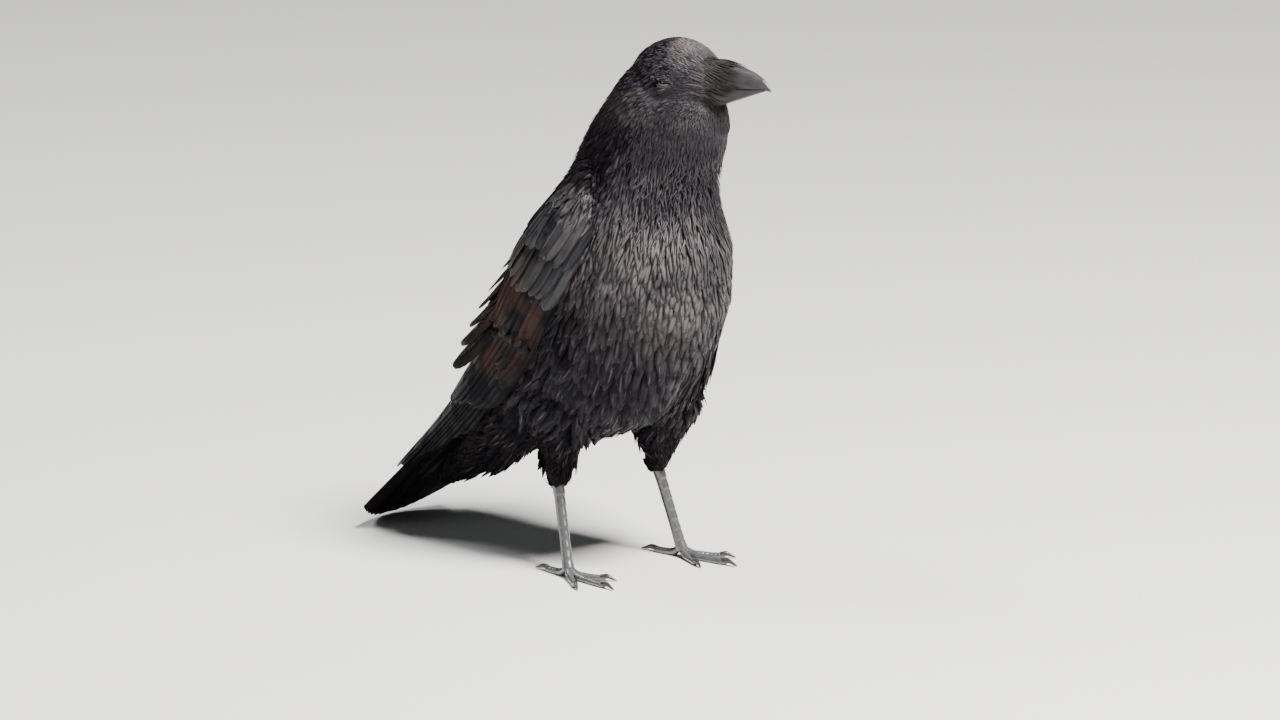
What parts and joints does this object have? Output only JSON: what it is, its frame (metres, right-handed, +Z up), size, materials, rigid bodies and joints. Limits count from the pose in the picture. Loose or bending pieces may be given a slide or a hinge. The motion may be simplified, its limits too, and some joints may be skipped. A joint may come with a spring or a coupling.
{
  "type": "crow figure",
  "caption": "Life-size standing crow, all black, upright with wings folded, tail slanting down behind and head facing forward; a still museum-style model.",
  "frame": {"origin": "on the floor, under the middle of the crow's outline in plan", "axes": "+Z up, the crow faces -Y, +X to the crow's own left"},
  "size_m": [0.1322, 0.3246, 0.3461],
  "materials": {
    "body_plumage": "black feathers with a faint violet-blue gloss",
    "flight_feathers": "black, smoother and glossier, worn to brown in places",
    "horn": "dark grey-black horn, satin",
    "leg_skin": "grey-black scaled skin, satin",
    "eye": "very dark brown, wet gloss"
  },
  "bodies": {
    "root": {"head": "body_plumage", "neck": "body_plumage", "trunk": "body_plumage", "eye_right": "eye", "eye_left": "eye", "bill_upper": "horn", "bill_lower": "horn", "wing_right_coverts": "body_plumage", "wing_right_tertials": "flight_feathers", "wing_right_secondaries": "flight_feathers", "wing_right_primaries": "flight_feathers", "wing_left_coverts": "body_plumage", "wing_left_tertials": "flight_feathers", "wing_left_secondaries": "flight_feathers", "wing_left_primaries": "flight_feathers", "tail": "flight_feathers", "thigh_right": "body_plumage", "shank_right": "leg_skin", "toe_right_hind": "leg_skin", "toe_right_inner": "leg_skin", "toe_right_middle": "leg_skin", "toe_right_outer": "leg_skin", "claw_right_hind": "horn", "claw_right_inner": "horn", "claw_right_middle": "horn", "claw_right_outer": "horn", "thigh_left": "body_plumage", "shank_left": "leg_skin", "toe_left_hind": "leg_skin", "toe_left_inner": "leg_skin", "toe_left_middle": "leg_skin", "toe_left_outer": "leg_skin", "claw_left_hind": "horn", "claw_left_inner": "horn", "claw_left_middle": "horn", "claw_left_outer": "horn"}
  },
  "joints": []
}
